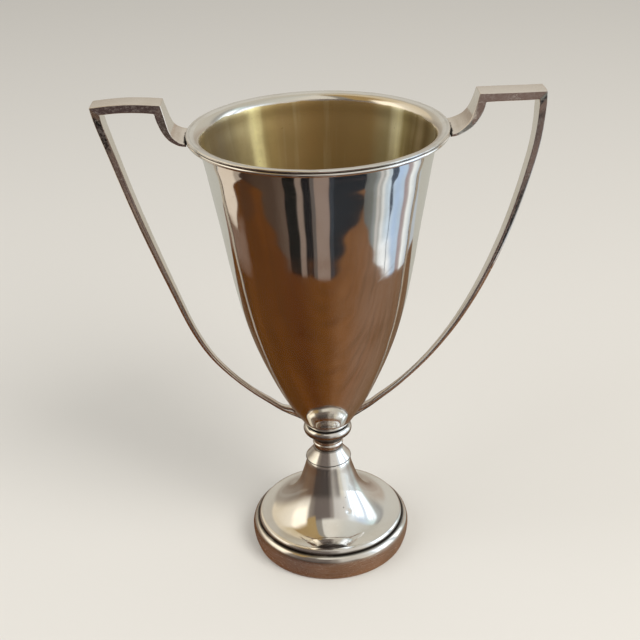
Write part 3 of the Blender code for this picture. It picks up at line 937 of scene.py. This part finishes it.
def sky_colour(graph, turn, rise):
    """The room above the table by two angles: its walls, a glow to the left and a window."""
    room = graph.mix(graph.step(rise, 2, 21), graph.ramp(turn, LOW_TONES),
                     graph.ramp(turn, MIDDLE_TONES))
    room = graph.mix(graph.step(rise, 45, 52), room, graph.ramp(turn, HIGH_TONES))
    tan = graph.math("MULTIPLY", graph.inside(turn, -70, -46, 3), graph.inside(rise, 42, 70, 3))
    room = graph.mix(tan, room, linear("a98f60"))
    glow = graph.math("MULTIPLY", graph.inside(turn, -104, -72, 6), graph.inside(rise, 24, 50, 6))
    room = graph.mix(glow, room, (1.35, 1.22, 1.0, 1.0))
    window = graph.math("MULTIPLY", graph.inside(turn, 60, 116, 4), graph.inside(rise, -12, 40, 5))
    panes = graph.noise(graph.add("CombineXYZ", {0: turn, 1: 0.0, 2: 0.0}).outputs[0], 0.11)
    bright = graph.mix(graph.step(panes, 0.35, 0.65), (0.75, 0.86, 1.0, 1.0),
                       (1.8, 1.95, 2.1, 1.0))
    return graph.mix(window, room, bright)


def add_world():
    """Plain soft light for all but mirror rays, which see the room."""
    world = bpy.data.worlds.new("studio")
    bpy.context.scene.world = world
    world.use_nodes = True
    graph = Graph(world.node_tree)
    way = graph.add("TexCoord").outputs["Generated"]
    x, y, z = graph.split(way)
    turn = degrees_round(graph, x, y)
    rise = graph.math("MULTIPLY", graph.math("ARCSINE", z), 180 / math.pi)
    soft = graph.add("Background", {"Color": linear("e8e6e2"), "Strength": 0.75})
    mirrored = graph.add("Background", {"Color": sky_colour(graph, turn, rise), "Strength": 1.0})
    both = graph.mirrors_see(soft.outputs[0], mirrored.outputs[0])
    graph.add("OutputWorld", {"Surface": both})


def add_lamp(name, place, size, power, colour):
    """A large soft lamp that aims at the cup and isn't mirrored in it."""
    lamp = bpy.data.lights.new(name, "AREA")
    lamp.size = size
    lamp.energy = power
    lamp.color = colour
    made = bpy.data.objects.new(name, lamp)
    made.location = place
    aim = np.array(LAMP_AIM) - np.array(place)
    made.rotation_euler = Vector(aim).to_track_quat("-Z", "Y").to_euler()
    made.visible_glossy = False
    bpy.context.scene.collection.objects.link(made)


def add_camera():
    """Camera above the cup's front, looking down at it."""
    camera = bpy.data.cameras.new("camera")
    camera.sensor_width = SENSOR_WIDTH
    camera.lens = CAMERA_LENS
    camera.clip_start = NEAR_LIMIT
    made = bpy.data.objects.new("camera", camera)
    made.location = CAMERA_PLACE
    made.rotation_euler = [math.radians(angle) for angle in CAMERA_TURN]
    bpy.context.scene.collection.objects.link(made)
    bpy.context.scene.camera = made


# ---------------------------------------------------------------- putting it together

def ripple(angle, radius, height):
    """Slight unevenness of a hand-finished wall, and the small knocks along the lip's top."""
    outwards = RIPPLE * (math.sin(5 * angle + 90 * height)
                         + math.sin(9 * angle - 210 * height + 1.3)
                         + 0.7 * math.sin(14 * angle + 330 * height + 0.4)
                         + 0.8 * math.sin(620 * height + 2 * math.sin(3 * angle)))
    if height < RIM_TOP - BOWL_EDGE:
        return outwards, 0.0
    wave = math.sin(11 * angle + 0.6) + math.sin(23 * angle + 900 * radius) + math.sin(41 * angle)
    return 0.0, -KNOCK_DEPTH * max(0.0, wave) / 3


def dented_foot(angle, radius, height):
    """A shallow oval dent low on the front of the trumpet."""
    place = np.array((radius * math.cos(angle), radius * math.sin(angle), height))
    near = max(0.0, 1 - np.linalg.norm((place - DENT_CENTRE) / DENT_SIZE) ** 2)
    depth = DENT_DEPTH * near ** 2
    return -0.7 * depth, -0.7 * depth


def two_sided_bowl(bowl, outside, inside):
    """Gives the faces that look at the axis the gilt material."""
    bowl.data.materials.append(outside)
    bowl.data.materials.append(inside)
    for face in bowl.data.polygons:
        inward = face.normal.x * face.center.x + face.normal.y * face.center.y < 0
        wall = inward and face.center.z < RIM_TOP - BOWL_EDGE
        floor = face.center.z < BOWL_FLOOR and face.normal.z > 0.5
        if wall or floor:
            face.material_index = 1


def build():
    """The turned pieces, the handles and the finishes of the hidden stem parts."""
    bowl_silver = silver_material("bowl_silver", True, "f5f3ef", 0.28, 0.0, BOWL_SCRATCHES)
    turned_silver = silver_material("turned_silver", True, "f4f1ec", 0.30, 0.01)
    strip_silver = silver_material("strip_silver", False, "f7eee5", 0.30, 0.03, mottled=0.55)
    border_silver = silver_material("border_silver", True, "f2ede6", 0.40, 0.03,
                                    dull_below=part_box("foot_border")[1].z - DULL_EDGE)
    two_sided_bowl(spun("bowl", ripple), bowl_silver, gilt_material())
    for node in ("rim_wire", "knop_ring", "neck", "collar"):
        spun(node).data.materials.append(turned_silver)
    spun("foot", dented_foot).data.materials.append(turned_silver)
    spun("foot_border").data.materials.append(border_silver)
    for node in ("handle_left", "handle_right"):
        swept_handle(node).data.materials.append(strip_silver)
    brass = dull_metal_material("dull_brass", "a8834a", 0.3)
    steel = dull_metal_material("dull_steel", "9a9a9c", 0.35)
    for node, finish in (("bowl_boss", brass), ("stud_washer", brass), ("stud_nut", brass),
                         ("stem_stud", steel)):
        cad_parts[node].material_slots[0].material = finish


build()
add_stage()
add_world()
add_lamp("key", (0.9, -0.9, 1.3), 1.0, 22, (1.0, 0.98, 0.95))
add_lamp("fill", (-1.1, -0.4, 1.0), 1.2, 7, (0.95, 0.97, 1.0))
add_camera()
bpy.context.scene.view_settings.view_transform = "Standard"
